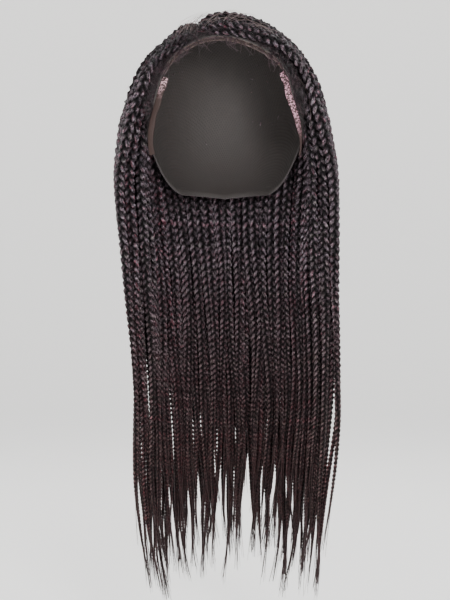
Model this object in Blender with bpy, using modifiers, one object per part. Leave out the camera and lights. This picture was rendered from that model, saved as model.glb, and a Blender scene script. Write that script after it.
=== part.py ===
"""Braid wig, worn form: a net cap with a lace front, two ear tabs and four layers of braided locks.

Metres, +Z up. The origin is the inside of the crown, where the wig sits on the head. The face side
looks along -Y and +X is the right-hand side as seen from the front. The cap is a part of an
ellipsoid. A place on it is a pair of shares (across, back): straight lines from the crown are
meridians, and a length of 1 is a quarter turn, down to the widest level of the head. Each lock
holds three braids and lies between two flow lines, which start at the parting, run over the cap
and hang from the widest level down.
"""

import math

import bmesh
import bpy
import numpy as np

# Head that the cap fits
HEAD_WIDTH = 0.152
HEAD_LENGTH = 0.194
CROWN_HEIGHT = 0.095

# Cap, lace front and ear tabs
CAP_WALL = 0.0012
LACE_WIDTH = 0.007
LACE_WALL = 0.001
TAB_WIDTH = 0.0060
TAB_WALL = 0.0012
TAB_FLARE = 0.0085
TAB_CURL = 0.0045
# Width of the lace at the temples as a share of its width, and how soon it widens from there
LACE_END = 0.55
LACE_WIDENING = 0.35
# A tab: share of its width lost at its foot, turn of its face towards the front, and the shares
# of its length where the flare and the curl start
TAB_TAPER = 0.12
TAB_TILT_DEG = 48.0
TAB_FLARE_FROM = 0.35
TAB_CURL_FROM = 0.60

# Hair
HAIR_DROP = 0.480
OUTER_DEPTH = 0.0095
UPPER_DEPTH = 0.0070
LOWER_DEPTH = 0.0055
NAPE_DEPTH = 0.0090
SWEEP_DEG = 116.0

# Clearances
PIECE_GAP = 0.0003
SEAT_GAP = 0.0010
LAYER_GAP = 0.0007
LOCK_GAP = 0.0005

# Parting, as places on the cap, with its half width at the front and at the crown
PARTING_FRONT = (-0.250, -0.402)
PARTING_CROWN = (-0.173, 0.225)
PARTING_HALF = 0.010
CROWN_HALF = 0.045
CROWN_SHARE = 0.20
CROWN_OPENING = 0.30

# Flow lines over the cap: how far out a line's bend lies, and how far the front lines bulge
# towards the face at seven even steps from the parting to the widest level
BEND = 0.60
BULGE_LEFT = (0.0, 0.020, 0.022, 0.028, 0.049, 0.044, 0.0)
BULGE_RIGHT = (0.0, 0.073, 0.094, 0.059, 0.036, 0.060, 0.0)
BULGE_FROM = 0.30

# Edge of the face opening, from one tab's foot to the other's: (across, back)
FACE_EDGE = (
    (-1.100, -0.535),
    (-0.980, -0.500),
    (-0.880, -0.465),
    (-0.788, -0.433),
    (-0.702, -0.417),
    (-0.607, -0.387),
    (-0.520, -0.364),
    (-0.405, -0.370),
    (-0.311, -0.398),
    (-0.170, -0.415),
    (0.000, -0.435),
    (0.200, -0.447),
    (0.397, -0.413),
    (0.483, -0.379),
    (0.565, -0.385),
    (0.637, -0.398),
    (0.727, -0.455),
    (0.860, -0.475),
    (0.980, -0.500),
    (1.100, -0.535),
)
EDGE_START_ROW = 2
TEMPLE_ROW = 5
STEPS_PER_ROW = 2

# Edge of the cap from its front corner over the ear to the nape: (across, back)
EAR_EDGE = (
    (0.950, -0.440),
    (1.030, -0.300),
    (1.080, -0.100),
    (1.100, 0.100),
    (1.160, 0.320),
    (1.280, 0.580),
    (1.220, 0.860),
    (1.020, 1.100),
    (0.720, 1.320),
    (0.360, 1.470),
)
NAPE_POINT = (0.0, 1.530)
CAP_CENTRE = (0.0, 0.300)
CAP_RINGS = 6

# Hanging hair: (share of the drop, shift to the right and inner half width as shares of half the
# head's width, inner half length as a share of half its length, depth share, sweep share, fill)
HANG = (
    (0.00, 0.000, 1.000, 1.000, 1.00, 1.000, 1.00),
    (0.06, 0.007, 1.001, 0.980, 1.00, 0.950, 1.00),
    (0.15, 0.020, 0.996, 0.928, 1.00, 0.850, 1.00),
    (0.27, 0.055, 1.003, 0.887, 0.92, 0.765, 1.00),
    (0.42, 0.103, 1.018, 0.876, 0.86, 0.730, 0.97),
    (0.58, 0.128, 1.018, 0.918, 0.78, 0.716, 0.93),
    (0.74, 0.114, 0.985, 0.918, 0.69, 0.707, 0.87),
    (0.87, 0.114, 0.950, 0.887, 0.61, 0.698, 0.80),
    (1.00, 0.112, 0.870, 0.825, 0.52, 0.681, 0.74),
)
SHARE, SHIFT, ACROSS, BACK, DEPTH, SWEEP, FILL = range(7)

# Sections of a lock over the cap, as shares of the way from the parting to the widest level
CAP_STATIONS = (0.0, 0.07, 0.16, 0.28, 0.41, 0.54, 0.68, 0.82, 0.91)

# Layers from the outside in: name, number of locks, depth, first section, start and end of the
# stretch in which the layer grows to its depth
LAYERS = (
    ("outer", 15, OUTER_DEPTH, 0, -0.10, 0.12),
    ("upper", 13, UPPER_DEPTH, 4, 0.18, 0.66),
    ("lower", 11, LOWER_DEPTH, 7, 0.55, 1.00),
    ("nape", 9, NAPE_DEPTH, 9, 0.93, 1.13),
)

# Section of a lock, outside then inside: (share across, share of the depth)
SECTION = (
    (0.00, 0.45),
    (0.17, 1.00),
    (0.33, 0.70),
    (0.50, 1.00),
    (0.67, 0.70),
    (0.83, 1.00),
    (1.00, 0.45),
    (0.50, 0.00),
)
# Points between the fingers on the inner side of a lock's last section
INNER_VALLEYS = ((0.67, 0.15), (0.33, 0.15))
# Tips of the three fingers: (share across, share of the depth, share of the longest drop)
TIPS = ((0.17, 0.55, 0.955), (0.50, 0.50, 1.0), (0.83, 0.55, 0.97))
TIP_SPREAD = 0.05
TIP_RATE = 2.4

# Colours (linear) and surfaces
HAIR = ((0.022, 0.010, 0.013), 0.42)
NET = ((0.018, 0.012, 0.013), 0.75)
LACE = ((0.32, 0.20, 0.20), 0.70)
TAB = ((0.25, 0.14, 0.14), 0.55)


def clear_scene():
    for thing in list(bpy.data.objects):
        bpy.data.objects.remove(thing, do_unlink=True)


def new_collection(name):
    group = bpy.data.collections.new(name)
    bpy.context.scene.collection.children.link(group)
    return group


def new_material(name, finish):
    colour, roughness = finish
    material = bpy.data.materials.new(name)
    material.use_nodes = True
    shader = material.node_tree.nodes["Principled BSDF"]
    shader.inputs["Base Color"].default_value = (*colour, 1.0)
    shader.inputs["Roughness"].default_value = roughness
    shader.inputs["Metallic"].default_value = 0.0
    return material


def ease(x):
    """An S-shaped rise from 0 to 1, level at both ends."""
    x = np.clip(x, 0.0, 1.0)
    return x * x * (3.0 - 2.0 * x)


def through(rows, x):
    """The Catmull-Rom curve through evenly spaced rows, read at shares x of its length."""
    rows = np.asarray(rows, float)
    last = len(rows) - 1
    at = np.clip(np.asarray(x, float), 0.0, 1.0) * last
    i = np.minimum(at.astype(int), last - 1)
    f = (at - i)[..., None]
    before = rows[np.maximum(i - 1, 0)]
    start = rows[i]
    end = rows[i + 1]
    after = rows[np.minimum(i + 2, last)]
    cubic = 3.0 * (start - end) + after - before
    square = 2.0 * before - 5.0 * start + 4.0 * end - after
    return start + 0.5 * f * (end - before + f * (square + f * cubic))


def on_head(spot, depth):
    """The point at a place (across, back) on the head, at a depth outside the cap's inner face."""
    spot = np.asarray(spot, float)
    reach = np.hypot(spot[..., 0], spot[..., 1])
    angle = reach * math.pi / 2
    ring = np.sin(angle) / np.maximum(reach, 1e-9)
    x = (HEAD_WIDTH / 2 + depth) * ring * spot[..., 0]
    y = (HEAD_LENGTH / 2 + depth) * ring * spot[..., 1]
    z = (CROWN_HEIGHT + depth) * np.cos(angle) - CROWN_HEIGHT
    return np.stack([x, y, z], -1)


def root_of(u):
    """Where flow line u starts: down one side of the parting, round its crown end, up the other."""
    front = np.array(PARTING_FRONT)
    crown = np.array(PARTING_CROWN)
    ahead = (front - crown) / np.linalg.norm(front - crown)
    right = np.array([-ahead[1], ahead[0]])
    along = np.clip((np.abs(u) - CROWN_SHARE) / (1.0 - CROWN_SHARE), 0.0, 1.0)[..., None]
    half = CROWN_HALF + (PARTING_HALF - CROWN_HALF) * ease(along / CROWN_OPENING)
    turn = (np.clip(u / CROWN_SHARE, -1.0, 1.0) * math.pi / 2)[..., None]
    return crown + along * (front - crown) + half * (np.sin(turn) * right - np.cos(turn) * ahead)


def plain_flow(u, t):
    """A quadratic Bezier curve from the parting that meets the widest level along a meridian."""
    angle = math.pi / 2 - np.radians(SWEEP_DEG) * u
    end = np.stack([np.cos(angle), np.sin(angle)], -1)
    t = t[..., None]
    return (1 - t) ** 2 * root_of(u) + 2 * t * (1 - t) * BEND * end + t**2 * end


def cap_flow(u, t):
    """The plain flow line, pushed towards the face near the front so that it keeps the hairline."""
    rows = [(left, right) for left, right in zip(BULGE_LEFT, BULGE_RIGHT)]
    both = through(rows, t)
    bulge = np.where(u < 0, both[..., 0], both[..., 1])
    spot = plain_flow(u, t)
    spot[..., 1] -= bulge * ease((np.abs(u) - BULGE_FROM) / (1.0 - BULGE_FROM))
    return spot


def place(u, v, depth):
    """Point on flow line u. v runs from 0 at the parting to 1 at the widest level and 2 at the tips."""
    u, v, depth = np.broadcast_arrays(np.asarray(u, float), v, depth)
    spot = cap_flow(u, np.clip(v, 0.0, 1.0))
    upper = on_head(spot, depth)
    table = np.array(HANG)
    row = np.stack([np.interp(v - 1.0, table[:, SHARE], table[:, k]) for k in range(len(HANG[0]))], -1)
    angle = math.pi / 2 - np.radians(SWEEP_DEG) * row[..., SWEEP] * u
    x = HEAD_WIDTH / 2 * row[..., SHIFT] + (HEAD_WIDTH / 2 * row[..., ACROSS] + depth) * np.cos(angle)
    y = (HEAD_LENGTH / 2 * row[..., BACK] + depth) * np.sin(angle)
    z = -CROWN_HEIGHT - HAIR_DROP * np.clip(v - 1.0, 0.0, 1.0)
    lower = np.stack([x, y, z], -1)
    return np.where((v < 1.0)[..., None], upper, lower)


def depth_range(layer, v):
    """Inner and outer depth of a layer at v: what the layers under it take up, then its own."""
    table = np.array(HANG)
    share = np.interp(v - 1.0, table[:, SHARE], table[:, DEPTH])
    under = 0.0
    for row in LAYERS[layer + 1 :]:
        under += row[2] * ease((v - row[4]) / (row[5] - row[4]))
    own = LAYERS[layer][2] * ease((v - LAYERS[layer][4]) / (LAYERS[layer][5] - LAYERS[layer][4]))
    seat = CAP_WALL + SEAT_GAP
    lower = seat + share * under
    upper = seat + share * (under + own)
    if under > 0.0:
        lower += LAYER_GAP / 2
    return lower, upper - LAYER_GAP / 2


def fill_at(v):
    table = np.array(HANG)
    return np.interp(v - 1.0, table[:, SHARE], table[:, FILL])


def lock_points(layer, u_start, u_end, v, rows):
    """Points of one section of a lock at v, at the shares across and of the depth in rows."""
    inner, outer = depth_range(layer, v)
    middle = (inner + outer) / 2
    sides = place(np.array([u_start, u_end]), v, middle)
    width = np.linalg.norm(sides[1] - sides[0])
    inset = (1.0 - fill_at(v)) / 2 + LOCK_GAP / 2 / width
    rows = np.array(rows)
    across = inset + (1.0 - 2.0 * inset) * rows[:, 0]
    u = u_start + (u_end - u_start) * across
    return place(u, v, inner + (outer - inner) * rows[:, 1])


def build_lock(name, layer, index, count, material, group):
    """A loft through the lock's sections that ends in three pointed fingers, one for each braid."""
    u_start = -1.0 + 2.0 * index / count
    u_end = -1.0 + 2.0 * (index + 1) / count
    stations = [*CAP_STATIONS, *(1.0 + row[SHARE] for row in HANG[:-1])][LAYERS[layer][3] :]
    mesh = bmesh.new()
    rings = []
    for v in stations:
        ring = lock_points(layer, u_start, u_end, v, SECTION)
        rings.append([mesh.verts.new(point) for point in ring])
    valleys = lock_points(layer, u_start, u_end, stations[-1], INNER_VALLEYS)
    right_valley, left_valley = [mesh.verts.new(point) for point in valleys]
    sides = len(SECTION)
    mesh.faces.new(rings[0])
    for above, below in zip(rings, rings[1:]):
        for k in range(sides):
            n = (k + 1) % sides
            corners = [above[n], above[k], below[k], below[n]]
            if below is rings[-1] and k == sides - 2:
                corners.insert(3, right_valley)
            if below is rings[-1] and k == sides - 1:
                corners.insert(3, left_valley)
            mesh.faces.new(corners)
    last = rings[-1]
    loops = (
        (last[0], last[1], last[2], left_valley),
        (last[2], last[3], last[4], right_valley, last[7], left_valley),
        (last[4], last[5], last[6], right_valley),
    )
    for number, (loop, (across, depth, drop)) in enumerate(zip(loops, TIPS)):
        braid = len(TIPS) * index + number + layer
        shorter = TIP_SPREAD * (1.0 + math.sin(TIP_RATE * braid)) / 2
        v = 1.0 + drop - shorter
        point = lock_points(layer, u_start, u_end, v, ((across, depth),))[0]
        tip = mesh.verts.new(point)
        for k in range(len(loop)):
            mesh.faces.new((loop[(k + 1) % len(loop)], loop[k], tip))
    bmesh.ops.recalc_face_normals(mesh, faces=mesh.faces)
    return finish(name, mesh, material, group)


def finish(name, mesh, material, group):
    data = bpy.data.meshes.new(name)
    mesh.to_mesh(data)
    mesh.free()
    piece = bpy.data.objects.new(name, data)
    data.materials.append(material)
    group.objects.link(piece)
    return piece


def solidify(piece, wall):
    """Gives an open surface its wall on the outer side."""
    modifier = piece.modifiers.new("Wall", "SOLIDIFY")
    modifier.thickness = wall
    modifier.offset = 1.0
    modifier.use_even_offset = True


def face_edge(first_row, last_row):
    """Places along the edge of the face opening, two to a row of its table."""
    last = len(FACE_EDGE) - 1
    count = (last_row - first_row) * STEPS_PER_ROW + 1
    return through(FACE_EDGE, np.linspace(first_row / last, last_row / last, count))


def cap_edge():
    """Places round the whole edge of the cap, from the left corner over the forehead."""
    front = face_edge(EDGE_START_ROW, len(FACE_EDGE) - 1 - EDGE_START_ROW)
    side = np.array(EAR_EDGE)
    mirrored = side[::-1] * (-1.0, 1.0)
    return np.concatenate([front, side, [NAPE_POINT], mirrored])


def build_cap(material, group):
    """The edge drawn in towards one place on the crown in even steps, then given its wall."""
    edge = cap_edge()
    centre = np.array(CAP_CENTRE)
    mesh = bmesh.new()
    rings = []
    for step in range(CAP_RINGS, 0, -1):
        spots = centre + (edge - centre) * step / CAP_RINGS
        rings.append([mesh.verts.new(point) for point in on_head(spots, 0.0)])
    for outer, inner in zip(rings, rings[1:]):
        for k in range(len(edge)):
            n = (k + 1) % len(edge)
            mesh.faces.new((outer[k], outer[n], inner[n], inner[k]))
    top = mesh.verts.new(on_head(centre, 0.0))
    for k in range(len(edge)):
        mesh.faces.new((rings[-1][k], rings[-1][(k + 1) % len(edge)], top))
    piece = finish("cap", mesh, material, group)
    solidify(piece, CAP_WALL)
    return piece


def edge_frame(spots):
    """Points on the head along an edge, with the directions out of the cap and off the head."""
    points = on_head(spots, 0.0)
    lifted = on_head(spots, CAP_WALL)
    off = lifted - points
    off /= np.linalg.norm(off, axis=1)[:, None]
    along = np.gradient(points, axis=0)
    away = np.cross(along, off)
    away /= np.linalg.norm(away, axis=1)[:, None]
    return points, away, off


def build_strip(name, near, far, wall, material, group):
    """A band between two edges, given its wall."""
    mesh = bmesh.new()
    first = [mesh.verts.new(point) for point in near]
    second = [mesh.verts.new(point) for point in far]
    for k in range(len(first) - 1):
        mesh.faces.new((first[k], second[k], second[k + 1], first[k + 1]))
    piece = finish(name, mesh, material, group)
    solidify(piece, wall)
    return piece


def build_lace(material, group):
    """A band along the hairline from temple to temple, in front of the cap's edge."""
    points, away, _ = edge_frame(face_edge(TEMPLE_ROW, len(FACE_EDGE) - 1 - TEMPLE_ROW))
    near = points + away * PIECE_GAP
    middle = np.sin(np.linspace(0.0, math.pi, len(points))) ** LACE_WIDENING
    far = near + away * (LACE_WIDTH * (LACE_END + (1.0 - LACE_END) * middle))[:, None]
    return build_strip("lace_front", near, far, LACE_WALL, material, group)


def build_tab(name, side, curl, material, group):
    """A band from the temple down in front of the ear, which stands off the head at its foot."""
    last = len(FACE_EDGE) - 1
    spots = face_edge(0, TEMPLE_ROW)[::-1] if side < 0 else face_edge(last - TEMPLE_ROW, last)
    points, away, off = edge_frame(spots)
    away *= side
    down = np.linspace(0.0, 1.0, len(points))[:, None]
    flare = TAB_FLARE * ease((down - TAB_FLARE_FROM) / (1.0 - TAB_FLARE_FROM))
    turned_out = curl * ease((down - TAB_CURL_FROM) / (1.0 - TAB_CURL_FROM))
    tilt = math.radians(TAB_TILT_DEG)
    faceward = away * math.cos(tilt) - off * math.sin(tilt)
    near = points + away * PIECE_GAP + off * flare
    far = near + faceward * TAB_WIDTH * (1.0 - TAB_TAPER * down**2) + off * turned_out
    # The first step is left to the end of the lace
    near = near[1:]
    far = far[1:]
    if side < 0:
        near = near[::-1]
        far = far[::-1]
    return build_strip(name, near, far, TAB_WALL, material, group)


def build_wig():
    clear_scene()
    group = new_collection("braid_wig")
    hair = new_material("braided_fibre", HAIR)
    net = new_material("cap_net", NET)
    lace = new_material("front_lace", LACE)
    tab = new_material("tab_cloth", TAB)
    build_cap(net, group)
    build_lace(lace, group)
    build_tab("ear_tab_left", -1.0, 0.0, tab, group)
    build_tab("ear_tab_right", 1.0, TAB_CURL, tab, group)
    for layer, (name, count, *_) in enumerate(LAYERS):
        for index in range(count):
            build_lock(f"{name}_lock_{index + 1:02d}", layer, index, count, hair, group)


build_wig()
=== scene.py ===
"""Braid wig, dressed: real three-strand braids, loose tips, hairline hair, net cap, lace and tabs.

Metres, +Z up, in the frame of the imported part. The origin is the inside of the crown, the face side
looks along -Y. A place on the cap is a pair (across, back), where straight lines from the crown are
meridians and a length of 1 is a quarter turn. Flow line u, from -1 at the left of the face to 1 at
its right, starts at the parting (v = 0), meets the widest level of the head (v = 1) and hangs to
the tips (v = 2). Every braid follows a flow line at its own depth outside the cap.
"""

import math

import bpy
import numpy as np
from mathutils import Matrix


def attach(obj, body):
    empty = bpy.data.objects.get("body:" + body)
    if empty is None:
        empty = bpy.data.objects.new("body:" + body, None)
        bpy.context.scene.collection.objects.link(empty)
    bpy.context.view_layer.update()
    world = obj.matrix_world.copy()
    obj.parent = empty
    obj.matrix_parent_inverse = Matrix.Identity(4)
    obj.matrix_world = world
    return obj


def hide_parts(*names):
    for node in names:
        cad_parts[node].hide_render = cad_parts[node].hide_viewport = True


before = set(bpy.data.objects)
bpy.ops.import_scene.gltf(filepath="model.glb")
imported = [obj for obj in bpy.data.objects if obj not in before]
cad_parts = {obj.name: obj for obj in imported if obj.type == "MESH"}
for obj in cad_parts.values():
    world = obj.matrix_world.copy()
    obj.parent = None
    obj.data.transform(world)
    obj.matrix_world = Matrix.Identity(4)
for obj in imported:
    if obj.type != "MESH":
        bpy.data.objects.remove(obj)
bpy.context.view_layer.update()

MM = 0.001

# Head, cap, lace and tabs, as in the part
HEAD_WIDTH = 152 * MM
HEAD_LENGTH = 194 * MM
CROWN_HEIGHT = 95 * MM
CAP_WALL = 1.2 * MM
LACE_WIDTH = 7 * MM
LACE_END = 0.55
LACE_WIDENING = 0.35
TAB_WIDTH = 6.0 * MM
TAB_WALL = 0.9 * MM
TAB_FLARE = 8.5 * MM
TAB_CURL = 4.5 * MM
TAB_TAPER = 0.12
TAB_TILT_DEG = 48.0
TAB_FLARE_FROM = 0.35
TAB_CURL_FROM = 0.60
PIECE_GAP = 0.3 * MM

# Hair, as in the part
HAIR_DROP = 480 * MM
SEAT_GAP = 1.0 * MM
SWEEP_DEG = 116.0
PARTING_FRONT = (-0.250, -0.402)
PARTING_CROWN = (-0.173, 0.225)
PARTING_HALF = 0.010
CROWN_HALF = 0.045
CROWN_SHARE = 0.20
CROWN_OPENING = 0.30
BEND = 0.60
BULGE_LEFT = (0.0, 0.020, 0.022, 0.028, 0.049, 0.044, 0.0)
BULGE_RIGHT = (0.0, 0.073, 0.094, 0.059, 0.036, 0.060, 0.0)
BULGE_FROM = 0.30

# Edge of the face opening from one tab's foot to the other's, then round the ear to the nape
FACE_EDGE = (
    (-1.1, -0.535),
    (-0.98, -0.5),
    (-0.88, -0.465),
    (-0.788, -0.433),
    (-0.702, -0.417),
    (-0.607, -0.387),
    (-0.52, -0.364),
    (-0.405, -0.37),
    (-0.311, -0.398),
    (-0.17, -0.415),
    (0.0, -0.435),
    (0.2, -0.447),
    (0.397, -0.413),
    (0.483, -0.379),
    (0.565, -0.385),
    (0.637, -0.398),
    (0.727, -0.455),
    (0.86, -0.475),
    (0.98, -0.5),
    (1.1, -0.535),
)
CORNER_ROW = 2
TEMPLE_ROW = 5
EAR_EDGE = (
    (0.95, -0.44),
    (1.03, -0.3),
    (1.08, -0.1),
    (1.1, 0.1),
    (1.16, 0.32),
    (1.28, 0.58),
    (1.22, 0.86),
    (1.02, 1.1),
    (0.72, 1.32),
    (0.36, 1.47),
)
NAPE_POINT = (0.0, 1.530)
CAP_CENTRE = (0.0, 0.300)

# Hanging hair: (share of the drop, shift to the right and inner half width as shares of half the
# head's width, inner half length as a share of half its length, depth share, sweep share, width
# of a braid in millimetres)
HANG = (
    (0.00, 0.000, 1.000, 1.000, 1.00, 1.000, 10.2),
    (0.06, 0.007, 1.001, 0.980, 1.00, 0.950, 10.2),
    (0.15, 0.020, 0.996, 0.928, 1.00, 0.850, 10.0),
    (0.27, 0.055, 1.003, 0.887, 0.92, 0.765, 9.3),
    (0.42, 0.103, 1.018, 0.876, 0.86, 0.730, 7.8),
    (0.58, 0.128, 1.018, 0.918, 0.78, 0.716, 6.2),
    (0.74, 0.114, 0.985, 0.918, 0.69, 0.707, 4.8),
    (0.87, 0.114, 0.950, 0.887, 0.61, 0.698, 3.8),
    (1.00, 0.112, 0.870, 0.825, 0.52, 0.681, 2.8),
)
SHIFT, ACROSS, BACK, DEPTH, SWEEP, WIDTH = range(6)

# Layers from the outside in: name, locks, depth, where its braids start, where it grows from and
# to, sides of a strand, points in one turn of the plait, share of the sweep that its braids fill,
# height of its braids in the layer, shortest and longest share of the drop
LAYERS = (
    ("outer", 15, 9.5 * MM, 0.0, -0.10, 0.12, 4, 8, 1.0, 0.50, 0.84, 0.985),
    ("upper", 13, 7.0 * MM, 0.41, 0.18, 0.66, 4, 8, 0.97, 0.25, 0.80, 0.96),
    ("lower", 11, 5.5 * MM, 0.82, 0.55, 1.00, 4, 7, 0.82, 0.50, 0.76, 0.92),
    ("nape", 9, 9.0 * MM, 1.0, 0.93, 1.13, 4, 7, 0.93, 0.62, 0.72, 0.90),
)
LAYER_DEPTH, LAYER_ROOT, GROWS_FROM, GROWS_TO = 2, 3, 4, 5
STRAND_SIDES, TURN_POINTS, SWEEP_FILL, HEIGHT_IN_LAYER = 6, 7, 8, 9
DROP_RANGE = slice(10, 12)
BRAIDS_A_LOCK = 3

# One braid, as shares of its width: how far its strands swing across and in depth, half widths of
# a strand, and the length of one stitch
SWING = 0.295
LIFT = 0.165
STRAND_WIDE = 0.235
STRAND_DEEP = 0.195
STITCH = 0.80
# Size of a strand where it dives in the middle, and what it gains at the edge and on top
PINCH = 0.66
EDGE_GAIN = 0.24
TOP_GAIN = 0.34
CROWD = 1.30
THINNEST = 2.2 * MM
# Below this width the stitches get no shorter, so the ends look slack
FINEST_PLAIT = 3.6 * MM
ROOT_LENGTH = 12 * MM
ROOT_SHARE = 0.45
TIP_LENGTH = 70 * MM
TIP_SHARE = 0.20
FINE_STEPS = 420
SEED = 11

# Steps in u and in depth for differences that give a direction
U_STEP = 1e-3
DEPTH_STEP = 1e-4
# Outline of a braid: its half widths across and in depth, as shares of its width
OUTLINE = (0.52, 0.36)
# Painted light: from this share of the outline outwards a strand is painted lit, most on the crown of
# each bead
CREST_FROM = 0.52
# Painted shade where a strand dives through the middle of the braid, as a share of its painted light,
# and the power with which the light rises
BEAD_DARK = 0.15
BEAD_POWER = 0.9
# Tone of a braid, and how far one of its strands may be from it
BRAID_TONE = (0.35, 0.65)
STRAND_TONE = 0.15
# From where a braid shows its outer side to the front, how far down its turn starts and runs, and
# the share of it that it makes
FRONT_SHARE = 0.60
FACING_FROM = 0.50
FACING_RUN = 0.50
FACING_SHARE = 0.90
PLACE_SCATTER = 0.012
# Roots of a lock's outer two braids, and the stretch in which all three come to lie side by side.
# At the root, the outer two lie lower and the middle one is wider.
SIDE_ROOT = 0.07
SIDE_ROOT_RANGE = (0.8, 1.3)
SHARED_STRETCH = 0.42
SIDE_SINK = -0.45
MIDDLE_RISE = 0.05
SIDE_ROOM = 0.2
MIDDLE_ROOM = 1.3
WIDTH_RANGE = (0.93, 1.06)
# Turn of a braid's face about its line, in radians, and where it is fully grown
TWIST_RATES = (6.1, 12.7)
TWIST_TOP = 0.30
TWIST_TIP = 0.75
TWIST_GROWN = 1.4
# Sway of a braid: rates along v, and size at the top and at the tips
SWAY_RATES = (7.3, 15.1)
SWAY_TOP = 0.45 * MM
SWAY_TIP = 4.2 * MM
SWAY_DEPTH = 0.6
SECOND_WAVE = 0.6
DEPTH_SPREAD = 0.10
# Neighbouring braids draw together towards the tips
CLUMPS = 4.5
CLUMP_SHARE = 0.62
CLUMP_MISS = 0.045
CLUMP_FROM = 0.60
CLUMP_RUN = 0.48
# Loose tips of one braid: where they leave it, as shares of the tip's length, how far past its
# end they reach in millimetres, their fan, curl in radians, radius in millimetres and tone
WISPS = 6
WISP_STEPS = 7
WISP_WIDTH_STEP = 40
WISP_START = (0.6, 1.2)
WISP_PAST = (-4.0, 9.0)
WISP_SPREAD = 3.5 * MM
WISP_FAN = (0.2, 1.0)
WISP_ROOT = 0.15
WISP_CURL = 1.2
WISP_RADIUS = (0.22, 0.42)
WISP_TONE = (0.2, 0.8)
# Stray hairs of one braid: places along it, reach in millimetres, rise as a share of the reach,
# start as a share of the width, power of the rise, radius in millimetres and tone
STRAYS = 8
STRAY_STEPS = 5
STRAY_PLACES = (0.02, 0.93)
STRAY_REACH = (3.0, 9.0)
STRAY_RISE = (0.15, 0.75)
STRAY_START = 0.38
STRAY_POWER = 1.6
STRAY_RADIUS = (0.09, 0.16)
STRAY_TONE = (0.3, 1.0)


def ease(x):
    """An S-shaped rise from 0 to 1, level at both ends."""
    x = np.clip(x, 0.0, 1.0)
    return x * x * (3.0 - 2.0 * x)


def unit(vectors):
    """Each vector divided by its length."""
    return vectors / np.maximum(np.linalg.norm(vectors, axis=-1, keepdims=True), 1e-12)


def through(rows, x):
    """The Catmull-Rom curve through evenly spaced rows, read at shares x of its length."""
    rows = np.asarray(rows, float)
    last = len(rows) - 1
    at = np.clip(np.asarray(x, float), 0.0, 1.0) * last
    i = np.minimum(at.astype(int), last - 1)
    f = (at - i)[..., None]
    before = rows[np.maximum(i - 1, 0)]
    start = rows[i]
    end = rows[i + 1]
    after = rows[np.minimum(i + 2, last)]
    cubic = 3.0 * (start - end) + after - before
    square = 2.0 * before - 5.0 * start + 4.0 * end - after
    return start + 0.5 * f * (end - before + f * (square + f * cubic))


def read_table(table, x):
    """Cubic Hermite curves through a table's rows, whose first column says where each row lies."""
    table = np.asarray(table, float)
    knots = table[:, 0]
    values = table[:, 1:]
    slopes = np.gradient(values, knots, axis=0)
    x = np.clip(x, knots[0], knots[-1])
    i = np.clip(np.searchsorted(knots, x, side="right") - 1, 0, len(knots) - 2)
    gap = (knots[i + 1] - knots[i])[..., None]
    f = (x - knots[i])[..., None] / gap
    rise = values[i + 1] - values[i]
    bend = slopes[i] * gap * (1.0 - f) - slopes[i + 1] * gap * f + rise * (2.0 * f - 1.0)
    return values[i] + rise * f + f * (1.0 - f) * bend


def on_head(spot, depth):
    """The point at a place (across, back) on the head's ellipsoid, at a depth outside the cap."""
    spot = np.asarray(spot, float)
    reach = np.hypot(spot[..., 0], spot[..., 1])
    angle = reach * math.pi / 2
    ring = np.sin(angle) / np.maximum(reach, 1e-9)
    x = (HEAD_WIDTH / 2 + depth) * ring * spot[..., 0]
    y = (HEAD_LENGTH / 2 + depth) * ring * spot[..., 1]
    z = (CROWN_HEIGHT + depth) * np.cos(angle) - CROWN_HEIGHT
    return np.stack([x, y, z], -1)


def root_of(u):
    """Where flow line u starts: down one side of the parting, round its crown end, up the other."""
    front = np.array(PARTING_FRONT)
    crown = np.array(PARTING_CROWN)
    ahead = (front - crown) / np.linalg.norm(front - crown)
    right = np.array([-ahead[1], ahead[0]])
    along = np.clip((np.abs(u) - CROWN_SHARE) / (1.0 - CROWN_SHARE), 0.0, 1.0)[..., None]
    half = CROWN_HALF + (PARTING_HALF - CROWN_HALF) * ease(along / CROWN_OPENING)
    turn = (np.clip(u / CROWN_SHARE, -1.0, 1.0) * math.pi / 2)[..., None]
    return crown + along * (front - crown) + half * (np.sin(turn) * right - np.cos(turn) * ahead)


def cap_flow(u, t):
    """A quadratic Bezier curve from the parting to the widest level, bulged to keep the hairline."""
    angle = math.pi / 2 - np.radians(SWEEP_DEG) * u
    end = np.stack([np.cos(angle), np.sin(angle)], -1)
    rise = t[..., None]
    spot = (1 - rise) ** 2 * root_of(u) + 2 * rise * (1 - rise) * BEND * end + rise**2 * end
    both = through(list(zip(BULGE_LEFT, BULGE_RIGHT)), t)
    bulge = np.where(u < 0, both[..., 0], both[..., 1])
    spot[..., 1] -= bulge * ease((np.abs(u) - BULGE_FROM) / (1.0 - BULGE_FROM))
    return spot


def place(u, v, depth):
    """The point on flow line u at v: on the cap up to 1, on drawn-in ellipses below."""
    u, v, depth = np.broadcast_arrays(np.asarray(u, float), v, depth)
    upper = on_head(cap_flow(u, np.clip(v, 0.0, 1.0)), depth)
    row = read_table(HANG, v - 1.0)
    angle = math.pi / 2 - np.radians(SWEEP_DEG) * row[..., SWEEP] * u
    x = HEAD_WIDTH / 2 * row[..., SHIFT] + (HEAD_WIDTH / 2 * row[..., ACROSS] + depth) * np.cos(angle)
    y = (HEAD_LENGTH / 2 * row[..., BACK] + depth) * np.sin(angle)
    z = -CROWN_HEIGHT - HAIR_DROP * np.clip(v - 1.0, 0.0, 1.1)
    lower = np.stack([x, y, z], -1)
    return np.where((v < 1.0)[..., None], upper, lower)


def grown(row, v):
    """How deep a layer is at v: an S-shaped rise to its full depth."""
    return row[LAYER_DEPTH] * ease((v - row[GROWS_FROM]) / (row[GROWS_TO] - row[GROWS_FROM]))


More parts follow.
